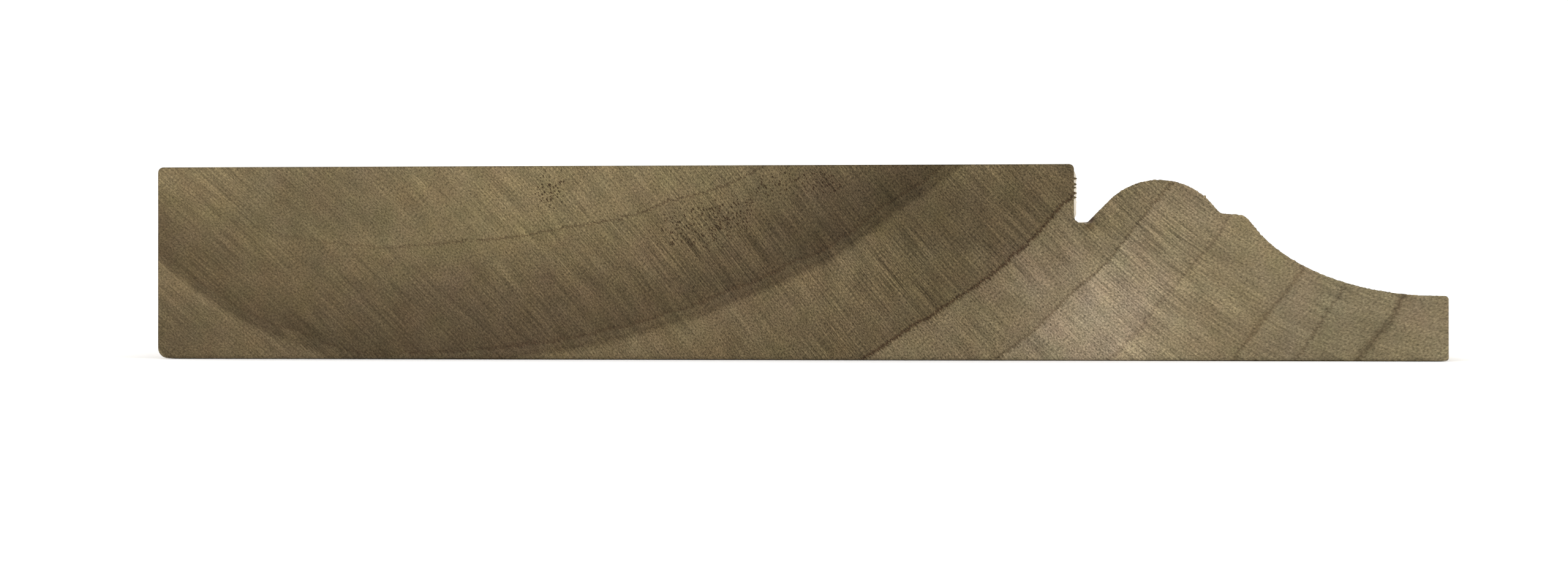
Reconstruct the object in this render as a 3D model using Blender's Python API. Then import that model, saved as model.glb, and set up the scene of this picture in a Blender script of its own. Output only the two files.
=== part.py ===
"""A metre of moulded hardwood skirting board, lying on its wall face.

The section runs across the board, from the thick foot edge at -X to the thin top edge at +X, and is
extruded along Y. The wall face lies on Z = 0 and the moulded face looks up. All sizes are in metres.
"""

import math

import bmesh
import bpy
import numpy as np

# Board
LENGTH = 1.0
HEIGHT_ON_WALL = 0.120
THICKNESS = 0.018

# Cove, a hollow that sweeps down to the thin top edge along an ellipse, from its start angle to its foot
TOP_EDGE_THICKNESS = 0.0059
COVE_WIDTH = 0.01733
COVE_START = math.radians(18.8)
TOP_FLAT = 0.00085

# Fillet, the narrow step between the cove and the bead, falling a little towards the cove
FILLET_WIDTH = 0.0025
FILLET_DROP = 0.00455
FILLET_FALL = 0.0002

# Bead, a round on a straight slant that rises from the floor of the quirk
BEAD_RADIUS = 0.00639
BEAD_DROP = 0.00148
BEAD_SLANT = math.radians(45)
SLANT_RISE = 0.00197

# Quirk, the narrow groove that parts the bead from the plinth face
QUIRK_WIDTH = 0.00125

# Worn and cut corners
FOOT_BACK_ROUND = 0.00095
FOOT_FRONT_ROUND = 0.0005
PLINTH_ROUND = 0.00045
QUIRK_ROUND = 0.00015
BEAD_FOOT_ROUND = 0.0005
FILLET_ROUND = 0.0007
TOP_FRONT_ROUND = 0.00035
TOP_BACK_ROUND = 0.00025

# Fineness of the round stretches
BEAD_STEPS = 32
COVE_STEPS = 28
CORNER_STEPS = 6
SHARP_ANGLE = math.radians(25)

# Finish
WOOD_COLOUR = (0.30, 0.22, 0.12)
WOOD_ROUGHNESS = 0.7


def line(start, end):
    """A straight run between two places in the section."""
    return np.array([start, end])


def arc(centre, reach, start, end, steps):
    """A run round a circle or an ellipse, whose reach is its half widths across and up."""
    angles = np.linspace(start, end, steps + 1)
    across = centre[0] + reach[0] * np.cos(angles)
    up = centre[1] + reach[1] * np.sin(angles)
    return np.column_stack([across, up])


def trimmed(run, from_start, from_end):
    """The run without a stretch at each end, both measured along it."""
    along = np.concatenate([[0.0], np.cumsum(np.linalg.norm(np.diff(run, axis=0), axis=1))])
    ends = np.array([from_start, along[-1] - from_end])
    inner = run[(along > ends[0]) & (along < ends[1])]
    tips = np.column_stack([np.interp(ends, along, run[:, 0]), np.interp(ends, along, run[:, 1])])
    return np.vstack([tips[:1], inner, tips[1:]])


def rounding(start, corner, end, steps):
    """The points between start and end on a curve that leaves and meets both sides of the corner."""
    into = (corner - start) / np.linalg.norm(corner - start)
    out = (end - corner) / np.linalg.norm(end - corner)
    weight = math.cos(0.5 * math.acos(float(np.clip(into @ out, -1, 1))))
    t = np.linspace(0, 1, steps + 1)[1:-1, None]
    parts = ((1 - t) ** 2, 2 * weight * t * (1 - t), t**2)
    return (parts[0] * start + parts[1] * corner + parts[2] * end) / sum(parts)


def cove_run():
    """From the fillet down the hollow and over the short flat to the top edge."""
    fall = THICKNESS - FILLET_DROP - FILLET_FALL - TOP_EDGE_THICKNESS
    reach = (COVE_WIDTH / math.cos(COVE_START), fall / (1 - math.sin(COVE_START)))
    centre = (HEIGHT_ON_WALL - TOP_FLAT, TOP_EDGE_THICKNESS + reach[1])
    hollow = arc(centre, reach, math.pi + COVE_START, 1.5 * math.pi, COVE_STEPS)
    return np.vstack([hollow, [HEIGHT_ON_WALL, TOP_EDGE_THICKNESS]])


def bead_run(fillet_start):
    """From the quirk's floor up the slant, over the round and down to the fillet."""
    height = THICKNESS - BEAD_DROP - BEAD_RADIUS
    end = math.asin((fillet_start[1] - height) / BEAD_RADIUS)
    centre = (fillet_start[0] - BEAD_RADIUS * math.cos(end), height)
    tangent = 0.5 * math.pi + BEAD_SLANT
    round_top = arc(centre, (BEAD_RADIUS, BEAD_RADIUS), tangent, end, BEAD_STEPS)
    foot = round_top[0] - (SLANT_RISE / math.tan(BEAD_SLANT), SLANT_RISE)
    return np.vstack([foot, round_top])


def section():
    """The board's outline, from the foot edge over the moulding to the top edge and back."""
    cove = cove_run()
    fillet_start = (cove[0, 0] - FILLET_WIDTH, THICKNESS - FILLET_DROP)
    bead = bead_run(fillet_start)
    plinth_end, floor = bead[0] - (QUIRK_WIDTH, 0)
    runs_and_rounds = (
        (line((0, 0), (0, THICKNESS)), FOOT_FRONT_ROUND),
        (line((0, THICKNESS), (plinth_end, THICKNESS)), PLINTH_ROUND),
        (line((plinth_end, THICKNESS), (plinth_end, floor)), QUIRK_ROUND),
        (line((plinth_end, floor), bead[0]), QUIRK_ROUND),
        (bead, BEAD_FOOT_ROUND),
        (line(fillet_start, cove[0]), FILLET_ROUND),
        (cove, TOP_FRONT_ROUND),
        (line(cove[-1], (HEIGHT_ON_WALL, 0)), TOP_BACK_ROUND),
        (line((HEIGHT_ON_WALL, 0), (0, 0)), FOOT_BACK_ROUND),
    )
    rounds = [size for _, size in runs_and_rounds]
    kept = [trimmed(run, rounds[i - 1], rounds[i]) for i, (run, _) in enumerate(runs_and_rounds)]
    outline = []
    for i, (run, _) in enumerate(runs_and_rounds):
        following = kept[(i + 1) % len(kept)]
        outline += [kept[i], rounding(kept[i][-1], run[-1], following[0], CORNER_STEPS)]
    return np.vstack(outline) - (0.5 * HEIGHT_ON_WALL, 0)


def wood():
    """Bare tulipwood, sawn across its grain at the ends and planed along it."""
    material = bpy.data.materials.new("tulipwood")
    material.use_nodes = True
    shader = material.node_tree.nodes["Principled BSDF"]
    shader.inputs["Base Color"].default_value = (*WOOD_COLOUR, 1)
    shader.inputs["Roughness"].default_value = WOOD_ROUGHNESS
    shader.inputs["Metallic"].default_value = 0
    return material


def skirting_board():
    """One solid strip: the section as a face, extruded along the board."""
    model = bmesh.new()
    outline = [model.verts.new((x, -0.5 * LENGTH, z)) for x, z in section()]
    end_face = model.faces.new(outline)
    extruded = bmesh.ops.extrude_face_region(model, geom=[end_face], use_keep_orig=True)
    moved = [part for part in extruded["geom"] if isinstance(part, bmesh.types.BMVert)]
    bmesh.ops.translate(model, verts=moved, vec=(0, LENGTH, 0))
    bmesh.ops.recalc_face_normals(model, faces=model.faces)
    mesh = bpy.data.meshes.new("skirting_board")
    model.to_mesh(mesh)
    model.free()
    mesh.materials.append(wood())
    mesh.shade_smooth()
    mesh.set_sharp_from_angle(angle=SHARP_ANGLE)
    board = bpy.data.objects.new("skirting_board", mesh)
    bpy.context.scene.collection.objects.link(board)
    return board


def main():
    for old in list(bpy.data.objects):
        bpy.data.objects.remove(old)
    skirting_board()


main()
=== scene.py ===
"""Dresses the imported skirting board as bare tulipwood, sawn at its ends and planed along its faces."""

import math

import bpy
import numpy as np
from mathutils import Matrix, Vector, noise
from mathutils.geometry import delaunay_2d_cdt


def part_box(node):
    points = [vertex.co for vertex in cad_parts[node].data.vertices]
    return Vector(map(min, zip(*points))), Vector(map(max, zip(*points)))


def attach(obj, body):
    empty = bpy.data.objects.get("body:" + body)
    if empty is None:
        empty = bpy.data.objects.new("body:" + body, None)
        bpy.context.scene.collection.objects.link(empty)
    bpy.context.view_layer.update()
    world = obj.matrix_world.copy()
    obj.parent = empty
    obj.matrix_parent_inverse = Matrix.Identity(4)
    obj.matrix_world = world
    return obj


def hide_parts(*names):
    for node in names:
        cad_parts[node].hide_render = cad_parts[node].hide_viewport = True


bl_info = {
    "name": "Skirting board looks",
    "version": (1, 0, 0),
    "blender": (4, 5, 0),
    "location": "3D View > Sidebar > Skirting",
    "description": "Dresses a moulded skirting board and sets a plain stage for it",
    "category": "Object",
}

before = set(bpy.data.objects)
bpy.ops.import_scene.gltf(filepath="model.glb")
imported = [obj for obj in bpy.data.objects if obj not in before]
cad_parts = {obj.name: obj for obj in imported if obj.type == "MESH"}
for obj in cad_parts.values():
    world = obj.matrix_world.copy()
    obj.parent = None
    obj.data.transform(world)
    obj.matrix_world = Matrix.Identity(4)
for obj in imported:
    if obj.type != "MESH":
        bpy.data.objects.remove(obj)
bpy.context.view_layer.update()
LOW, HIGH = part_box("skirting_board")

MM = 0.001

# Places on the near sawn end are in millimetres from the foot edge and up from the wall face.

# The heart of the tree lay above the board, and its rings are ovals round it: how far out the oldest
# and the youngest ring shown lie to the left of the heart, below it and to the right
PITH = (22.5, 45.5)
OLDEST_RING = (42, 35, 57.5)
YOUNGEST_RING = (45, 90, 105.5)
GROWTH_MM = YOUNGEST_RING[1] - OLDEST_RING[1]

# The rings waver by this share of the growth. Along the board the trunk leans across and up, by so much
# for each millimetre, and wanders as it goes.
RING_WAVER = 0.015
TRUNK_LEAN = (-0.55, 0, -0.40)
LEAN_PER_MM = 0.03
WANDER_MM = 260

# Each year's wood: the share of the growth at its end, its colours from the year's start to its end,
# and the darkness and width in millimetres of the line that closes it
YEARS = (
    (-0.400, "86785C", "7A6C50", 0.30, 0.40),
    (-0.250, "83755A", "74664A", 0.40, 0.35),
    (0.000, "807154", "786A4D", 0.62, 0.32),
    (0.075, "76684B", "675941", 0.00, 0.40),
    (0.185, "675941", "584B36", 0.42, 0.35),
    (0.205, "5F523C", "5C4F39", 0.14, 0.70),
    (0.395, "75664B", "61543D", 0.85, 0.45),
    (0.520, "786A50", "76694F", 0.50, 0.36),
    (0.645, "82745A", "807258", 0.34, 0.50),
    (0.805, "837559", "817357", 0.42, 0.60),
    (0.890, "81745A", "80745A", 0.46, 0.50),
    (0.985, "7F7359", "7B7055", 0.50, 1.00),
    (1.200, "807358", "82755B", 0.00, 0.30),
)

# How steeply the saw marks and rays run down to the right: place across and angle in degrees
STREAK_ANGLES = ((0, 40), (60, 53), (90, 43), (120, 14))
STREAK_STEPS = 12

# Stained and bleached spots of the end, the last of them painted shade by the tear in the quirk: place
# across and up, half widths across and up, and how they change red, green and blue
SPOTS = (
    (89, 2.5, 8, 8, (1.46, 1.48, 1.66)),
    (81, 9, 7, 4, (1.06, 1.04, 1.12)),
    (62, 16, 15, 6, (0.81, 0.81, 0.82)),
    (71, 12, 9, 5, (0.82, 0.82, 0.82)),
    (38, 17, 20, 5, (1.04, 1.04, 1.03)),
    (14, 14.5, 14, 6, (0.76, 0.76, 0.77)),
    (3, 15, 7, 5, (1.07, 1.06, 1.04)),
    (6, 8.5, 8, 4, (1.10, 1.10, 1.08)),
    (15, 4.5, 8, 3.5, (1.10, 1.10, 1.08)),
    (4, 3.5, 9, 3.5, (0.87, 0.87, 0.88)),
    (23, 6.5, 10, 3, (0.92, 0.92, 0.93)),
    (15.5, 1.8, 8, 2.5, (0.86, 0.86, 0.87)),
    (61.5, 11, 4, 3, (0.78, 0.78, 0.78)),
    (74, 8, 8, 5, (0.86, 0.87, 0.84)),
    (29, 3, 15, 5, (0.92, 0.91, 0.95)),
    (57, 7, 10, 4, (0.88, 0.87, 0.88)),
    (76, 14.5, 12, 5, (0.73, 0.73, 0.71)),
    # Painted shade, not a stain: darkens the end by the tear at the quirk's foot.
    (87.5, 12.3, 0.7, 0.5, (0.55, 0.50, 0.45)),
)

# Patches where the rays stand out most: place across and up, and half widths across and up
RAY_PATCHES = (
    (82, 10, 7, 6),
    (76, 3, 5, 4),
    (93, 11, 7, 6),
    (6, 15, 7, 4),
    (56, 10, 14, 6),
    (68, 7, 8, 5),
)

# Patches where the pores crowd together, in the same way
PORE_PATCHES = (
    (51.5, 12.2, 5, 3),
    (55, 14, 3, 2),
    (59, 16.3, 3, 2),
    (63, 16.5, 2, 1.5),
    (37.5, 15.8, 1.8, 2.5),
)

# Torn fibres and notches along the near edge: place across and up, half width, and how far they stand
# out. They fade over the first half millimetre of the board.
BURRS = (
    (86.12, 16.66, 0.11, 0.32),
    (86.12, 16.14, 0.11, 0.30),
    (86.12, 15.83, 0.09, 0.22),
    (86.12, 15.32, 0.11, 0.32),
    (86.12, 14.92, 0.11, 0.27),
    (86.20, 12.75, 0.30, 0.16),
    (86.85, 12.68, 0.45, -0.12),
    (87.55, 12.95, 0.55, -0.34),
    (97.93, 14.85, 0.20, 0.30),
    (98.50, 14.20, 0.20, 0.25),
)
BURR_DEPTH = 0.5

# The wall of the quirk keeps a lip of pale fuzz just behind the sawn end.
LIP_ACROSS = 86.12
LIP_UP = (12.9, 17.4)
LIP_REACH = 0.22

# Painted shade darkens the tear at the foot of the quirk's wall: place across and up, and half widths
# across and up
TEAR_SHADE = (87.7, 12.9, 0.9, 0.8)

# The moulding's edge is finely serrated from past the quirk to the top edge, above its thin end.
SERRATED_ACROSS = (87.3, 119)
SERRATED_ABOVE = 5.9
SERRATION = 0.07

# Stretches of the outline, as a box across and up, that are meshed more finely, and how finely
FINE_STRETCHES = (
    (86.0, 87.6, 12.5, 17.7, 0.06),
    (87.6, 119.5, 5.5, 17.0, 0.11),
)

# How far behind the near end the first rings of corners lie, and how many more are spread evenly from
# 20 mm behind it to 3 mm before the far end
NEAR_STATIONS = (0.15, 0.4, 0.9, 1.8, 3.5)
EVEN_STATIONS = (20, 3, 12)
SHARP_ANGLE = math.radians(35)

# The stage: half the floor's side in metres and its gap below the board in millimetres, then the lamp's
# place and the point that the camera looks at, both in metres from the middle of the near end's bottom
FLOOR_HALF = 20
FLOOR_GAP_MM = 0.07
LAMP_PLACE = (-0.6, -1.2, 1.1)
CAMERA_AIM = (-0.00062, 0, 0.00666)


def linear(code):
    """An sRGB hex colour as linear red, green, blue and alpha."""
    parts = [int(code[i : i + 2], 16) / 255 for i in (0, 2, 4)]
    return (*[c / 12.92 if c <= 0.04045 else ((c + 0.055) / 1.055) ** 2.4 for c in parts], 1.0)


def node(tree, kind, inputs=None, out=0, points=None, **settings):
    """Adds one shader node with its settings, curve points, and inputs as values or links."""
    made = tree.nodes.new("ShaderNode" + kind)
    for name, value in settings.items():
        setattr(made, name, value)
    if points:
        curve = made.mapping.curves[0]
        while len(curve.points) < len(points):
            curve.points.new(1, 1)
        for point, place in zip(curve.points, points):
            point.location = place
        made.mapping.update()
    for socket, value in (inputs or {}).items():
        if isinstance(value, bpy.types.NodeSocket):
            tree.links.new(value, made.inputs[socket])
        else:
            made.inputs[socket].default_value = value
    return made.outputs[out]


def streak_depths():
    """Places across the end, and how far down a saw mark or ray has run at each of them."""
    read_at, angles = zip(*STREAK_ANGLES)
    places = np.linspace(0, read_at[-1], STREAK_STEPS + 1)
    falls = np.tan(np.radians(np.interp(places, read_at, angles)))
    return places, np.array([0, *np.cumsum(np.diff(places) * (falls[1:] + falls[:-1]) / 2)])


def times_ring(tree, beside, below, ring):
    """How many times as far from the heart as the ring a place lies."""
    left, down, right = ring
    to_left = node(tree, "Math", {0: beside, 1: -left}, operation="DIVIDE")
    to_right = node(tree, "Math", {0: beside, 1: right}, operation="DIVIDE")
    sideways = node(tree, "Math", {0: to_left, 1: to_right}, operation="MAXIMUM")
    downward = node(tree, "Math", {0: below, 1: down}, operation="DIVIDE")
    reach = node(tree, "CombineXYZ", {0: sideways, 1: downward})
    return node(tree, "VectorMath", {0: reach}, out="Value", operation="LENGTH")


def new_group(name, **outputs):
    """An empty node group with its outputs, each named with its kind."""
    tree = bpy.data.node_groups.new(name, "ShaderNodeTree")
    for label, kind in outputs.items():
        tree.interface.new_socket(label, in_out="OUTPUT", socket_type="NodeSocket" + kind)
    return tree


def send_out(tree, *values):
    """Links the values to the group's outputs, in order."""
    ends = tree.nodes.new("NodeGroupOutput")
    for socket, value in zip(ends.inputs, values):
        tree.links.new(value, socket)


def growth_group():
    """The tree's growth all through the board.

    Growth is 0 at the oldest ring shown and 1 at the youngest. Place is in millimetres from the foot
    edge, the near end and the wall face. Streak runs across the saw marks and rays, along them, and along
    the board.
    """
    tree = new_group("tulipwood_growth", Growth="Float", Streak="Vector", Place="Vector")
    in_object = node(tree, "TexCoord", out="Object")
    from_corner = node(tree, "VectorMath", {0: in_object, 1: LOW}, operation="SUBTRACT")
    place = node(tree, "VectorMath", {0: from_corner, "Scale": 1 / MM}, operation="SCALE")
    across, along, up = node(tree, "SeparateXYZ", {0: place}).node.outputs

    # The trunk wanders and leans along the board, starting from the near end as it shows there.
    wander_at = node(tree, "Math", {0: along, 1: 1 / WANDER_MM}, operation="MULTIPLY")
    wander = node(tree, "TexNoise", {"W": wander_at, "Scale": 1}, out="Color", noise_dimensions="1D")
    lean = node(tree, "VectorMath", {0: wander, 1: TRUNK_LEAN}, operation="ADD")
    reach = node(tree, "Math", {0: along, 1: LEAN_PER_MM}, operation="MULTIPLY")
    shift = node(tree, "VectorMath", {0: lean, "Scale": reach}, operation="SCALE")
    grown_at = node(tree, "VectorMath", {0: place, 1: shift}, operation="ADD")
    grown_across, _, grown_up = node(tree, "SeparateXYZ", {0: grown_at}).node.outputs
    beside = node(tree, "Math", {0: grown_across, 1: PITH[0]}, operation="SUBTRACT")
    below = node(tree, "Math", {0: PITH[1], 1: grown_up}, operation="SUBTRACT")

    # Growth rises evenly along each spoke from the heart. At o times the oldest ring's distance and y
    # times the youngest's, it is y (o - 1) / (o - y).
    oldest = times_ring(tree, beside, below, OLDEST_RING)
    youngest = times_ring(tree, beside, below, YOUNGEST_RING)
    past_oldest = node(tree, "Math", {0: oldest, 1: 1}, operation="SUBTRACT")
    gone = node(tree, "Math", {0: past_oldest, 1: youngest}, operation="MULTIPLY")
    whole = node(tree, "Math", {0: oldest, 1: youngest}, operation="SUBTRACT")
    even_growth = node(tree, "Math", {0: gone, 1: whole}, operation="DIVIDE")

    # The rings waver over some 8 mm across the board and much more slowly along it.
    waver_at = node(tree, "VectorMath", {0: grown_at, 1: (0.12, 0.006, 0.12)}, operation="MULTIPLY")
    waver = node(tree, "TexNoise", {0: waver_at, "Scale": 1, "Detail": 3})
    waver_size = node(tree, "MapRange", {0: waver, 3: -RING_WAVER, 4: RING_WAVER})
    growth = node(tree, "Math", {0: even_growth, 1: waver_size}, operation="ADD")

    places, depths = streak_depths()
    curve = list(zip(places / places[-1], depths / depths[-1]))
    across_share = node(tree, "Math", {0: across, 1: places[-1]}, operation="DIVIDE")
    depth_share = node(tree, "FloatCurve", {1: across_share}, points=curve)
    depth = node(tree, "Math", {0: depth_share, 1: depths[-1], 2: up}, operation="MULTIPLY_ADD")
    run = node(tree, "Math", {0: across, 1: up}, operation="SUBTRACT")
    streak = node(tree, "CombineXYZ", {0: depth, 1: run, 2: along})
    send_out(tree, growth, streak, place)


def years_group():
    """The wood's colour from year to year, and the darkness of the thin lines that close the years."""
    tree = new_group("tulipwood_years", Tone="Color", Line="Float")
    tree.interface.new_socket("Growth", in_out="INPUT", socket_type="NodeSocketFloat")
    growth = tree.nodes.new("NodeGroupInput").outputs[0]
    start, soft = YEARS[0][0] - 0.2, 0
    tone = line = None
    for end, early, late, dark, width_mm in YEARS:
        half = width_mm / GROWTH_MM / 2
        within = node(tree, "MapRange", {0: growth, 1: start, 2: end})
        year = node(tree, "Mix", {0: within, 6: linear(early), 7: linear(late)}, out=2, data_type="RGBA")
        gap = node(tree, "Math", {0: growth, 1: end - half}, operation="SUBTRACT")
        distance = node(tree, "Math", {0: gap}, operation="ABSOLUTE")
        near = node(tree, "MapRange", {0: distance, 1: half, 2: 0, 3: 0, 4: dark})
        if tone:
            begun = node(tree, "MapRange", {0: growth, 1: start - soft, 2: start + soft})
            tone = node(tree, "Mix", {0: begun, 6: tone, 7: year}, out=2, data_type="RGBA")
            line = node(tree, "Math", {0: near, 1: line}, operation="ADD")
        else:
            tone, line = year, near
        start, soft = end, half
    send_out(tree, tone, line)


def stretched_noise(tree, at, per_mm, out=0, **inputs):
    """Noise with so many features to the millimetre along each axis of the place."""
    scaled = node(tree, "VectorMath", {0: at, 1: per_mm}, operation="MULTIPLY")
    return node(tree, "TexNoise", {0: scaled, "Scale": 1, **inputs}, out=out)


def spot_share(tree, place, across, up, half_across, half_up):
    """How much of a soft round spot of the near end lies on each place, from 1 at its middle to 0."""
    offset = node(tree, "VectorMath", {0: place, 1: (across, 0, up)}, operation="SUBTRACT")
    shrink = (1 / half_across, 0.02, 1 / half_up)
    reach = node(tree, "VectorMath", {0: offset, 1: shrink}, operation="MULTIPLY")
    away = node(tree, "VectorMath", {0: reach}, out="Value", operation="LENGTH")
    return node(tree, "MapRange", {0: away, 1: 1.4, 2: 0.0}, interpolation_type="SMOOTHSTEP")


def wood_material(name, roughness, gloss):
    """A new material with its shader, and the tree's growth in it."""
    material = bpy.data.materials.new(name)
    material.use_nodes = True
    shader = material.node_tree.nodes["Principled BSDF"]
    shader.inputs["Roughness"].default_value = roughness
    shader.inputs["Specular IOR Level"].default_value = gloss
    group = bpy.data.node_groups["tulipwood_growth"]
    grown = node(material.node_tree, "Group", node_tree=group).node.outputs
    return material, shader, grown["Growth"], grown["Streak"], grown["Place"]


def year_wood(tree, growth):
    """The colour of the wood of this growth, and the darkness of the line on it."""
    group = bpy.data.node_groups["tulipwood_years"]
    return node(tree, "Group", {0: growth}, node_tree=group).node.outputs


def sawn_end(tint):
    """Tulipwood cut across its fibres by a circular saw.

    The open fibre ends drink the light, so the cut is matt and about half as light as the planed faces.
    Rays and saw marks give it fine slanting streaks, and its pores fine dark specks.
    """
    material, shader, growth, streak, place = wood_material("tulipwood_sawn_end_grain", 0.95, 0.1)
    tree = material.node_tree
    across, _, up = node(tree, "SeparateXYZ", {0: place}).node.outputs

    # Where streaks cross the rings, they fray them by a quarter of a millimetre.
    fray = stretched_noise(tree, streak, (4, 0.4, 1), Detail=2)
    fray_size = node(tree, "MapRange", {0: fray, 1: 0.25, 2: 0.75, 3: -0.005, 4: 0.005})
    frayed = node(tree, "Math", {0: growth, 1: fray_size}, operation="ADD")
    tone, line = year_wood(tree, frayed)

    # The rings are faint by the foot edge.
    faint = node(tree, "MapRange", {0: across, 1: 5, 2: 35, 3: 0.25, 4: 1.0})
    line = node(tree, "Math", {0: line, 1: faint}, operation="MULTIPLY")
    tone = node(tree, "Mix", {0: line, 6: tone, 7: linear("3C2A1C")}, out=2, data_type="RGBA")

    # Fibre ends are about 0.2 by 0.3 mm, light rays 0.2 by 7 mm, dark bars 0.7 by 7 mm and broad bands
    # 1 by 14 mm. Mottling and the patches where rays and pores show are wider clouds.
    dashes = stretched_noise(tree, streak, (5.4, 3.4, 1), Detail=1, Roughness=0.7)
    bars = stretched_noise(tree, streak, (1.5, 0.14, 0.2), Detail=1)
    rays = stretched_noise(tree, streak, (4.8, 0.14, 1), Detail=1, Roughness=0.6)
    bands = stretched_noise(tree, streak, (0.9, 0.07, 0.2), Detail=2)
    mottle = stretched_noise(tree, place, (0.5, 0.2, 0.5), Detail=4)
    patches = stretched_noise(tree, place, (0.09, 0.02, 0.12), Detail=1)
    light = 1.0
    for part, most in ((dashes, 0.48), (bands, 0.10), (mottle, 0.12)):
        spread = {0: part, 1: 0.3, 2: 0.7, 3: 1 - most, 4: 1 + most}
        change = node(tree, "MapRange", spread, clamp=False)
        light = node(tree, "Math", {0: light, 1: change}, operation="MULTIPLY")

    # Rays and bars show most in patches.
    ray = node(tree, "MapRange", {0: rays, 1: 0.36, 2: 0.66, 3: -0.22, 4: 0.38})
    bar = node(tree, "MapRange", {0: bars, 1: 0.56, 2: 0.72, 3: 0.0, 4: -0.17})
    ray = node(tree, "Math", {0: ray, 1: bar}, operation="ADD")
    ray_strength = node(tree, "MapRange", {0: patches, 1: 0.38, 2: 0.56, 3: 0.35, 4: 0.80})
    for patch in RAY_PATCHES:
        share = spot_share(tree, place, *patch)
        ray_strength = node(tree, "Math", {0: share, 1: 0.4, 2: ray_strength}, operation="MULTIPLY_ADD")
    ray_change = node(tree, "Math", {0: ray, 1: ray_strength, 2: 1.0}, operation="MULTIPLY_ADD")
    light = node(tree, "Math", {0: light, 1: ray_change}, operation="MULTIPLY")

    # Pores of 0.1 to 0.2 mm crowd together in patches, and are dark whatever the wood round them.
    pore_at = node(tree, "VectorMath", {0: streak, 1: (4.4, 3.0, 0.1)}, operation="MULTIPLY")
    pore = node(tree, "TexVoronoi", {0: pore_at, "Scale": 1}).node.outputs
    crowd = node(tree, "MapRange", {0: patches, 1: 0.3, 2: 0.7, 3: 0.40, 4: 0.52})
    for patch in PORE_PATCHES:
        share = spot_share(tree, place, *patch)
        crowd = node(tree, "Math", {0: share, 1: 0.30, 2: crowd}, operation="MULTIPLY_ADD")
    chosen = node(tree, "SeparateColor", {0: pore["Color"]})
    chance = node(tree, "Math", {0: chosen, 1: crowd}, operation="MULTIPLY")
    size = node(tree, "MapRange", {0: chance, 1: 0.43, 2: 0.62, 3: 0.0, 4: 0.66})
    inside = node(tree, "Math", {0: size, 1: pore["Distance"]}, operation="SUBTRACT")
    hole = node(tree, "MapRange", {0: inside, 1: 0, 2: 0.15, 3: 0.0, 4: 0.85})

    # Stains and bleached spots change the tone; the last spot is painted shade by the tear.
    for *spot, change in SPOTS:
        share = spot_share(tree, place, *spot)
        changed = node(tree, "VectorMath", {0: tone, 1: change}, operation="MULTIPLY")
        tone = node(tree, "Mix", {0: share, 6: tone, 7: changed}, out=2, data_type="RGBA")
    tone = node(tree, "Mix", {0: hole, 6: tone, 7: linear("37291B")}, out=2, data_type="RGBA")

    # The wood by the foot edge and by the top edge is calmer than that between them.
    rising = node(tree, "MapRange", {0: across, 1: 5, 2: 60, 3: 0.78, 4: 1.12})
    falling = node(tree, "MapRange", {0: across, 1: 80, 2: 105, 3: 1, 4: 0.72})
    unrest = node(tree, "Math", {0: rising, 1: falling}, operation="MULTIPLY")
    change = node(tree, "Math", {0: light, 1: 1}, operation="SUBTRACT")
    light = node(tree, "Math", {0: change, 1: unrest, 2: 1}, operation="MULTIPLY_ADD")

    # Painted shade darkens a thin strip along the cut's bottom corner, by the floor, and along its top
    # corner.
    foot_edge_shade = node(tree, "MapRange", {0: up, 1: 0.05, 2: 0.30, 3: 0.72, 4: 1.0})
    top_edge_shade = node(tree, "MapRange", {0: up, 1: 17.80, 2: 17.97, 3: 1.0, 4: 0.82})
    light = node(tree, "Math", {0: light, 1: foot_edge_shade}, operation="MULTIPLY")
    light = node(tree, "Math", {0: light, 1: top_edge_shade}, operation="MULTIPLY")

    # Its colour drifts a little redder, greener and bluer over some 3 mm.
    drift = stretched_noise(tree, place, (0.35, 0.05, 0.35), out="Color", Detail=2)
    widest = Vector((0.14, 0.12, 0.19)) * Vector(tint)
    least = Vector((0.93, 0.94, 0.91)) * Vector(tint)
    drifted = node(tree, "VectorMath", {0: drift, 1: widest, 2: least}, operation="MULTIPLY_ADD")
    tinted = node(tree, "VectorMath", {0: tone, 1: drifted}, operation="MULTIPLY")
    colour = node(tree, "VectorMath", {0: tinted, "Scale": light}, operation="SCALE")
    tree.links.new(colour, shader.inputs["Base Color"])
    bump = node(tree, "Bump", {"Height": dashes, "Distance": 0.05 * MM, "Strength": 0.6})
    tree.links.new(bump, shader.inputs["Normal"])
    return material


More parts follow.
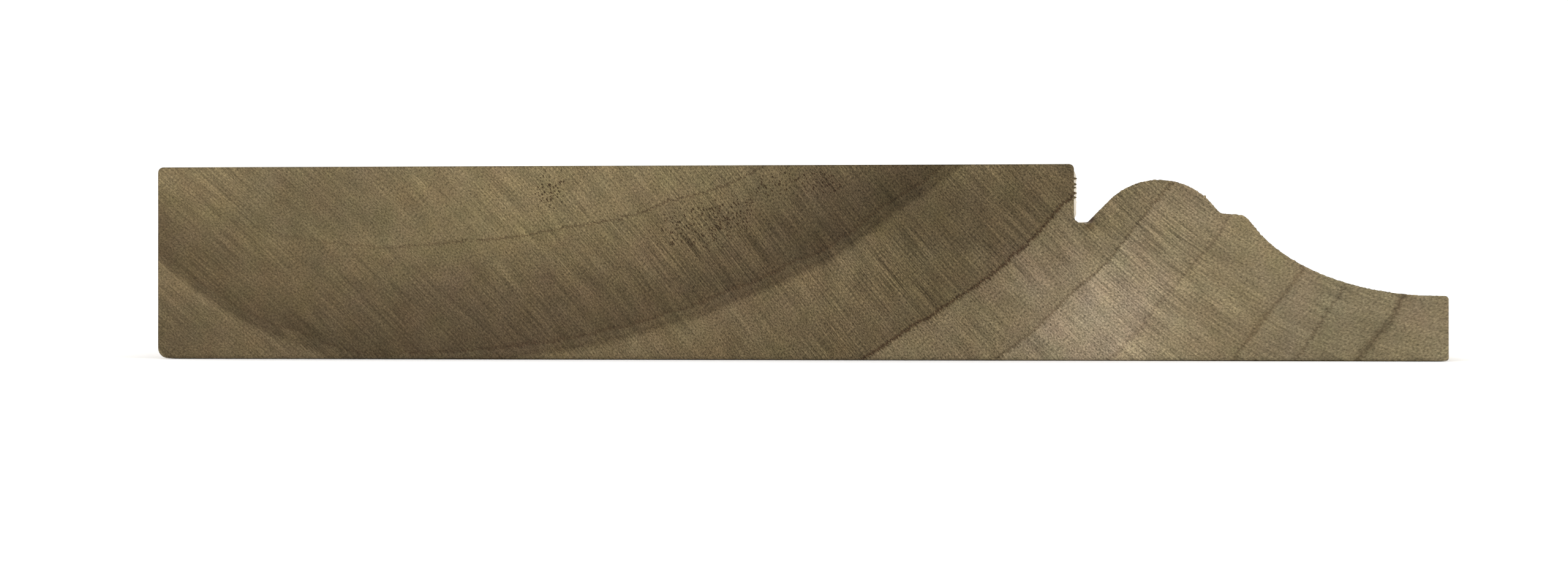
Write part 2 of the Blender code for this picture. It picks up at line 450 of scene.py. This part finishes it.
def planed_face(face_light):
    """Tulipwood planed and moulded along its fibres by spinning knives.

    Cut along the fibres it is smooth, light and a little silky, with the years as long soft bands.
    """
    material, shader, growth, _, place = wood_material("tulipwood_planed_long_grain", 0.55, 0.35)
    tree = material.node_tree
    tone, line = year_wood(tree, growth)
    fibres = stretched_noise(tree, place, (2.5, 0.03, 2.5), Detail=4, Roughness=0.6)
    vessels = stretched_noise(tree, place, (7, 0.16, 7), Detail=1)
    spread = {0: fibres, 1: 0.25, 2: 0.75, 3: 0.85 * face_light, 4: 1.15 * face_light}
    shade = node(tree, "MapRange", spread, clamp=False)
    vessel_light = node(tree, "MapRange", {0: vessels, 1: 0.58, 2: 0.68, 3: 1.0, 4: 0.80})
    darker = node(tree, "Math", {0: line, 1: -0.6, 2: 1.0}, operation="MULTIPLY_ADD")
    light = node(tree, "Math", {0: shade, 1: darker}, operation="MULTIPLY")
    light = node(tree, "Math", {0: light, 1: vessel_light}, operation="MULTIPLY")
    colour = node(tree, "VectorMath", {0: tone, "Scale": light}, operation="SCALE")

    # Behind the sawn end, the fuzz on the quirk's wall is pale, and the tear at its foot gets a dark
    # painted shade.
    _, along, _ = node(tree, "SeparateXYZ", {0: place}).node.outputs
    behind = node(tree, "MapRange", {0: along, 1: 0.6, 2: 1.9, 3: 1.0, 4: 0.0})
    fuzz_share = spot_share(tree, place, LIP_ACROSS + 0.3, sum(LIP_UP) / 2, 0.7, 4.0)
    pale = node(tree, "Math", {0: behind, 1: fuzz_share}, operation="MULTIPLY")
    fuzzy = node(tree, "Mix", {0: pale, 6: colour, 7: linear("D8CFBF")}, out=2, data_type="RGBA")
    # Painted shade: the hollow of the tear is darkened in colour.
    tear_shade_share = spot_share(tree, place, *TEAR_SHADE)
    tear_shade_mask = node(tree, "Math", {0: behind, 1: tear_shade_share}, operation="MULTIPLY")
    with_tear_shade = node(tree, "Mix", {0: tear_shade_mask, 6: fuzzy, 7: linear("3E2F23")}, out=2, data_type="RGBA")
    tree.links.new(with_tear_shade, shader.inputs["Base Color"])

    # The knives leave a ripple across the board every 2 mm, and the vessels lie open as fine grooves.
    ripple_at = node(tree, "Math", {0: along, 1: math.pi}, operation="MULTIPLY")
    ripple = node(tree, "Math", {0: ripple_at}, operation="SINE")
    ripple_height = node(tree, "Math", {0: ripple, 1: 0.15, 2: vessel_light}, operation="MULTIPLY_ADD")
    bump = node(tree, "Bump", {"Height": ripple_height, "Distance": 0.02 * MM})
    tree.links.new(bump, shader.inputs["Normal"])
    return material


def end_outline():
    """The section's corners in order, in millimetres, from the near end of the frame's own solid."""
    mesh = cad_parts["skirting_board"].data
    places = [tuple(round(part / MM, 3) for part in corner.co - LOW) for corner in mesh.vertices]
    edges = set()
    for polygon in mesh.polygons:
        corners = [places[i] for i in polygon.vertices]
        if any(along > 0 for _, along, _ in corners):
            continue
        for a, b in zip(corners, corners[1:] + corners[:1]):
            if (b, a) in edges:
                edges.remove((b, a))
            else:
                edges.add((a, b))
    following = dict(edges)
    corner = min(following)
    loop = []
    for _ in following:
        loop.append(corner[::2])
        corner = following[corner]
    return np.array(loop)


def divided(loop, step):
    """The closed outline with points at most one step apart, or less on its fine stretches."""
    points = []
    for start, end in zip(loop, np.roll(loop, -1, axis=0)):
        middle = (start + end) / 2
        reach = step
        for left, right, bottom, top, finer in FINE_STRETCHES:
            if left < middle[0] < right and bottom < middle[1] < top:
                reach = finer
        count = max(1, math.ceil(np.linalg.norm(end - start) / reach))
        points += [start + (end - start) * i / count for i in range(count)]
    return np.array(points)


def outward(loop):
    """The direction out of the board at each point of its outline."""
    along = np.roll(loop, -1, axis=0) - np.roll(loop, 1, axis=0)
    out = np.column_stack([along[:, 1], -along[:, 0]])
    return out / np.linalg.norm(out, axis=1)[:, None]


def fringed(loop, depth):
    """The outline at a depth behind the near end, with its burrs, fuzz and fine serration."""
    reach = np.zeros(len(loop))
    fading = max(0, 1 - depth / BURR_DEPTH)
    for across, up, half_width, size in BURRS:
        gap = np.hypot(loop[:, 0] - across, loop[:, 1] - up)
        reach += size * np.sqrt(np.clip(1 - gap / half_width, 0, 1)) * fading
    low, high = LIP_UP
    on_wall = (abs(loop[:, 0] - LIP_ACROSS) < 0.05) & (loop[:, 1] > low) & (loop[:, 1] < high)
    ends = np.interp(loop[:, 1], (low, low + 0.5, high - 0.5, high), (0, 1, 1, 0))
    fuzz = np.interp(depth, (0, 0.15, 0.9, 3.0), (0, 1, 0.8, 0))
    left, right = SERRATED_ACROSS
    serrated = (loop[:, 0] > left) & (loop[:, 1] > SERRATED_ABOVE) & (loop[:, 0] < right)
    for i, (across, up) in enumerate(loop):
        if on_wall[i]:
            uneven = 1 + 0.3 * noise.noise((across, 3 * up, depth))
            reach[i] = max(reach[i], LIP_REACH * fuzz * uneven * ends[i])
        elif serrated[i]:
            reach[i] += SERRATION * fading * noise.noise((5 * across, 5 * up, depth))
    return loop + reach[:, None] * outward(loop)


def within(points, loop):
    """Which points lie inside the closed outline."""
    inside = np.zeros(len(points), bool)
    for (x1, z1), (x2, z2) in zip(loop, np.roll(loop, -1, axis=0)):
        if z1 == z2:
            continue
        crossed = (z1 > points[:, 1]) != (z2 > points[:, 1])
        inside ^= crossed & (points[:, 0] < x1 + (x2 - x1) * (points[:, 1] - z1) / (z2 - z1))
    return inside


def filled(loop, step):
    """The outline's points and more spread evenly inside it, and the triangles that join them all."""
    low, high = loop.min(axis=0), loop.max(axis=0)
    rows = np.arange(low[1] + 0.5 * step, high[1], step * math.sqrt(0.75))
    columns = np.arange(low[0] + 0.5 * step, high[0], step)
    grid = np.array([(x + 0.5 * step * (i % 2), z) for i, z in enumerate(rows) for x in columns])
    grid = grid[within(grid, loop)]
    gaps = np.array([np.hypot(*(loop - point).T).min() for point in grid])
    points = np.vstack([loop, grid[gaps > 0.55 * step]])
    edges = [(i, (i + 1) % len(loop)) for i in range(len(loop))]
    _, _, faces, *_ = delaunay_2d_cdt([Vector(point) for point in points], edges, [], 1, 1e-5)
    return points, [tuple(face) for face in faces]


def saw_relief(points, depth, draw):
    """How deep the saw marks are cut into an end at each of its points, in millimetres."""
    depths = np.interp(points[:, 0], *streak_depths()) + points[:, 1]
    runs = points[:, 0] - points[:, 1]
    broad = [noise.noise((0.7 * down, 0.06 * run, draw)) for down, run in zip(depths, runs)]
    fine = [noise.noise((3.1 * down, 0.5 * run, draw)) for down, run in zip(depths, runs)]
    relief = depth * (np.array(broad) + 0.4 * np.array(fine))
    return relief - relief.min()


def board_mesh(step, saw_depth):
    """The board as one closed mesh: two finely meshed ends, and long faces between them."""
    outline = divided(end_outline(), step)
    count = len(outline)
    length = (HIGH.y - LOW.y) / MM
    near_points, near_faces = filled(fringed(outline, 0), step)
    far_points, far_faces = filled(outline, 2 * step)
    near_relief = saw_relief(near_points, saw_depth, 0)
    far_relief = saw_relief(far_points, saw_depth, 9)
    first, before_end, number = EVEN_STATIONS
    stations = [*NEAR_STATIONS, *np.linspace(first, length - before_end, number)]

    corners = [(x, y, z) for (x, z), y in zip(near_points, near_relief)]
    rings = [list(range(count))]
    for along in stations:
        rings.append(list(range(len(corners), len(corners) + count)))
        corners += [(x, along, z) for x, z in fringed(outline, along)]
    far_start = len(corners)
    rings.append(list(range(far_start, far_start + count)))
    corners += [(x, length - y, z) for (x, z), y in zip(far_points, far_relief)]
    faces = list(near_faces)
    faces += [[far_start + i for i in reversed(face)] for face in far_faces]
    ends = len(faces)
    for near, far in zip(rings, rings[1:]):
        for i in range(count):
            j = (i + 1) % count
            faces.append((near[i], far[i], far[j], near[j]))
    mesh = bpy.data.meshes.new("skirting_board_dressed")
    corners = np.clip(np.array(LOW) + MM * np.array(corners), LOW, HIGH)
    mesh.from_pydata(corners.tolist(), [], faces)
    mesh.polygons.foreach_set("material_index", [0] * ends + [1] * (len(faces) - ends))
    mesh.shade_smooth()
    mesh.set_sharp_from_angle(angle=SHARP_ANGLE)
    return mesh


class BoardLooks(bpy.types.PropertyGroup):
    mesh_step: bpy.props.FloatProperty(
        name="Mesh step",
        description="Spacing of the points on the near sawn end, in millimetres",
        default=0.25,
        min=0.15,
    )
    saw_depth: bpy.props.FloatProperty(
        name="Saw depth",
        description="Depth of the broad saw marks on the ends, in millimetres",
        default=0.02,
        min=0,
    )
    end_tint: bpy.props.FloatVectorProperty(
        name="End tint",
        description="Colour that the sawn end grain is multiplied by",
        default=(0.84, 0.84, 0.84),
        subtype="COLOR",
        min=0,
        max=1,
    )
    face_light: bpy.props.FloatProperty(
        name="Face light",
        description="How many times as light the planed faces are as the sawn end grain",
        default=1.66,
        min=0,
    )


class StageLooks(bpy.types.PropertyGroup):
    floor_colour: bpy.props.FloatVectorProperty(
        name="Floor",
        description="Colour of the matt paper that the board lies on",
        default=(0.98, 0.98, 0.98),
        subtype="COLOR",
        min=0,
        max=1,
    )
    daylight: bpy.props.FloatProperty(
        name="Daylight",
        description="Strength of the even white light from all round",
        default=1.25,
        min=0,
    )
    softbox_size: bpy.props.FloatProperty(
        name="Softbox size",
        description="Width and height of the soft lamp",
        default=1.2,
        min=0.01,
        unit="LENGTH",
    )
    softbox_power: bpy.props.FloatProperty(
        name="Softbox power",
        description="Power of the soft lamp above and left of the near end",
        default=4,
        min=0,
        unit="POWER",
    )
    camera_distance: bpy.props.FloatProperty(
        name="Camera distance",
        description="How far the camera stands from the near end",
        default=0.273,
        min=0.05,
        unit="LENGTH",
    )
    camera_turn: bpy.props.FloatProperty(
        name="Camera turn",
        description="How far the camera looks to the left of straight along the board",
        default=math.radians(5.15),
        subtype="ANGLE",
    )
    lens: bpy.props.FloatProperty(
        name="Lens",
        description="Focal length of the camera in millimetres",
        default=67.64,
        min=1,
    )


class SKIRTING_OT_board(bpy.types.Operator):
    """Makes the dressed board in place of the plain solid"""

    bl_idname = "skirting.board"
    bl_label = "Dress the board"

    def execute(self, context):
        looks = context.scene.board_looks
        growth_group()
        years_group()
        mesh = board_mesh(looks.mesh_step, looks.saw_depth)
        mesh.materials.append(sawn_end(looks.end_tint))
        mesh.materials.append(planed_face(looks.face_light))
        board = bpy.data.objects.new("board", mesh)
        context.scene.collection.objects.link(board)
        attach(board, "root")
        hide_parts("skirting_board")
        return {"FINISHED"}


class SKIRTING_OT_stage(bpy.types.Operator):
    """Sets a pale floor, soft light and the camera"""

    bl_idname = "skirting.stage"
    bl_label = "Set the stage"

    def execute(self, context):
        looks = context.scene.stage_looks
        scene = context.scene
        scene.view_settings.view_transform = "Standard"
        world = bpy.data.worlds.new("daylight")
        world.use_nodes = True
        world.node_tree.nodes["Background"].inputs["Color"].default_value = (1, 1, 1, 1)
        world.node_tree.nodes["Background"].inputs["Strength"].default_value = looks.daylight
        scene.world = world

        mesh = bpy.data.meshes.new("floor")
        half = FLOOR_HALF
        height = LOW.z - FLOOR_GAP_MM * MM
        square = ((-half, -half), (half, -half), (half, half), (-half, half))
        mesh.from_pydata([(x, y, height) for x, y in square], [], [(0, 1, 2, 3)])
        floor = bpy.data.objects.new("floor", mesh)
        scene.collection.objects.link(floor)
        paint = bpy.data.materials.new("white_matt_paper")
        paint.use_nodes = True
        shader = paint.node_tree.nodes["Principled BSDF"]
        shader.inputs["Base Color"].default_value = (*looks.floor_colour, 1)
        shader.inputs["Roughness"].default_value = 1
        shader.inputs["Specular IOR Level"].default_value = 0
        mesh.materials.append(paint)

        light = bpy.data.lights.new("softbox", "AREA")
        light.size = looks.softbox_size
        light.energy = looks.softbox_power
        lamp = bpy.data.objects.new("softbox", light)
        near_end = Vector((0, LOW.y, 0))
        lamp.location = near_end + Vector(LAMP_PLACE)
        aim = near_end - lamp.location
        lamp.rotation_euler = aim.to_track_quat("-Z", "Y").to_euler()
        scene.collection.objects.link(lamp)

        camera = bpy.data.objects.new("camera", bpy.data.cameras.new("camera"))
        turn = looks.camera_turn
        ahead = Vector((-math.sin(turn), math.cos(turn), 0))
        camera.location = near_end + Vector(CAMERA_AIM) - looks.camera_distance * ahead
        camera.rotation_euler = ahead.to_track_quat("-Z", "Y").to_euler()
        camera.data.lens = looks.lens
        camera.data.clip_start = 0.01
        scene.collection.objects.link(camera)
        scene.camera = camera
        return {"FINISHED"}


class SKIRTING_PT_panel(bpy.types.Panel):
    """Shows the looks of the board and of its stage, each with the button that makes it"""

    bl_label = "Skirting board"
    bl_idname = "SKIRTING_PT_panel"
    bl_space_type = "VIEW_3D"
    bl_region_type = "UI"
    bl_category = "Skirting"

    def draw(self, context):
        for looks, operator in (
            (context.scene.board_looks, "skirting.board"),
            (context.scene.stage_looks, "skirting.stage"),
        ):
            for name in looks.__annotations__:
                self.layout.prop(looks, name)
            self.layout.operator(operator)


CLASSES = (BoardLooks, StageLooks, SKIRTING_OT_board, SKIRTING_OT_stage, SKIRTING_PT_panel)


def register():
    for made in CLASSES:
        bpy.utils.register_class(made)
    bpy.types.Scene.board_looks = bpy.props.PointerProperty(type=BoardLooks)
    bpy.types.Scene.stage_looks = bpy.props.PointerProperty(type=StageLooks)


def unregister():
    del bpy.types.Scene.stage_looks
    del bpy.types.Scene.board_looks
    for made in reversed(CLASSES):
        bpy.utils.unregister_class(made)


def main():
    register()
    bpy.ops.skirting.board()
    bpy.ops.skirting.stage()


if __name__ == "__main__":
    main()
